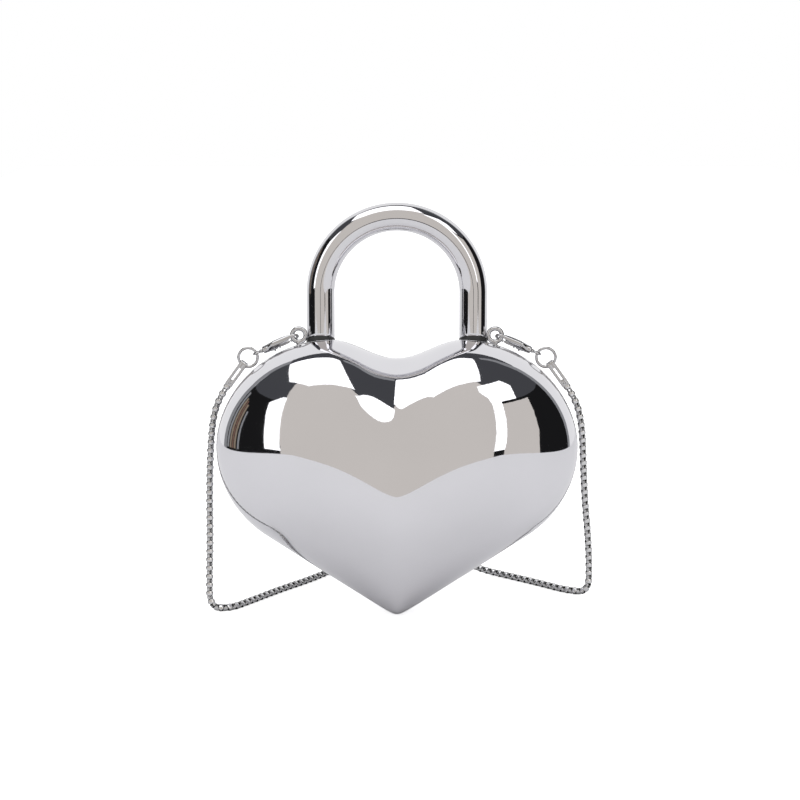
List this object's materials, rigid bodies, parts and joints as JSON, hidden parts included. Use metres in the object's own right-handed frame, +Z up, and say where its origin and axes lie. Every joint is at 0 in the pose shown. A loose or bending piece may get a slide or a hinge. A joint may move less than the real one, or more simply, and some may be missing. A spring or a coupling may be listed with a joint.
{
  "type": "heart shaped purse",
  "caption": "Puffy heart-shaped hard-shell purse with a tube handle arched over its notch, a hinged front half, and a box-chain strap clipped to eyes on its shoulders.",
  "frame": {"origin": "middle of the flat at the heart's tip, on the surface that the purse stands on", "axes": "+Z up from the tip to the handle, +X to the right seen from the front, and the front half faces -Y"},
  "size_m": [0.1974, 0.1514, 0.2049],
  "materials": {
    "shell_chrome": "polished",
    "handle_chrome": "polished",
    "fittings_chrome": "polished",
    "chain_chrome": "polished",
    "rim_metal": "satin",
    "lining_fabric": "matte",
    "inner_steel": "satin",
    "inner_plastic": "matte",
    "grommet_rubber": "matte",
    "tie_plastic": "satin"
  },
  "bodies": {
    "back_half": {"back_shell": "shell_chrome", "back_rim": "rim_metal", "back_lining": "lining_fabric", "back_hinge_block": "inner_plastic", "hinge_back_leaf": "inner_steel", "hinge_pin": "inner_steel", "hinge_back_screws": "inner_steel", "back_magnets": "inner_steel", "handle_tube": "handle_chrome", "handle_plugs": "inner_steel", "handle_grommets": "grommet_rubber", "handle_collars": "inner_plastic", "handle_screws": "inner_steel", "handle_anchor_plate": "inner_steel", "left_strap_eye": "fittings_chrome", "right_strap_eye": "fittings_chrome", "eye_nuts": "inner_steel", "left_swivel_eye": "fittings_chrome", "right_swivel_eye": "fittings_chrome", "left_jump_ring": "fittings_chrome", "right_jump_ring": "fittings_chrome", "left_end_link": "fittings_chrome", "right_end_link": "fittings_chrome", "left_link_rivet": "fittings_chrome", "right_link_rivet": "fittings_chrome", "left_chain_run": "chain_chrome", "chain_coil": "chain_chrome", "right_chain_run": "chain_chrome", "chain_tie": "tie_plastic"},
    "front_half": {"front_shell": "shell_chrome", "front_rim": "rim_metal", "front_lining": "lining_fabric", "front_hinge_block": "inner_plastic", "hinge_front_leaf": "inner_steel", "hinge_front_screws": "inner_steel", "front_magnets": "inner_steel"},
    "left_claw": {"left_claw_body": "fittings_chrome", "left_gate_pin": "fittings_chrome"},
    "right_claw": {"right_claw_body": "fittings_chrome", "right_gate_pin": "fittings_chrome"},
    "left_gate": {"left_claw_gate": "fittings_chrome"},
    "right_gate": {"right_claw_gate": "fittings_chrome"}
  },
  "joints": [
    {"name": "front_half_hinge", "type": "hinge", "parent": "back_half", "child": "front_half", "pos_m": [0, 0, 0.0019], "axis": [1, 0, 0], "range_deg": [0, 40]},
    {"name": "left_claw_swivel", "type": "hinge", "parent": "back_half", "child": "left_claw", "pos_m": [-0.0488, 0.007, 0.13929], "axis": [-0.9198, 0, -0.3923], "range_deg": [-8, 8]},
    {"name": "right_claw_swivel", "type": "hinge", "parent": "back_half", "child": "right_claw", "pos_m": [0.0488, 0.007, 0.13929], "axis": [0.9198, 0, -0.3923], "range_deg": [-8, 8]},
    {"name": "left_gate_pivot", "type": "hinge", "parent": "left_claw", "child": "left_gate", "pos_m": [-0.06114, 0.00938, 0.13253], "axis": [0.3398, -0.5, -0.7966], "range_deg": [0, 20], "stiffness_Nm_per_rad": 0.005, "springref_deg": -20.05},
    {"name": "right_gate_pivot", "type": "hinge", "parent": "right_claw", "child": "right_gate", "pos_m": [0.06114, 0.00938, 0.13253], "axis": [0.3398, 0.5, 0.7966], "range_deg": [0, 20], "stiffness_Nm_per_rad": 0.005, "springref_deg": -20.05}
  ]
}
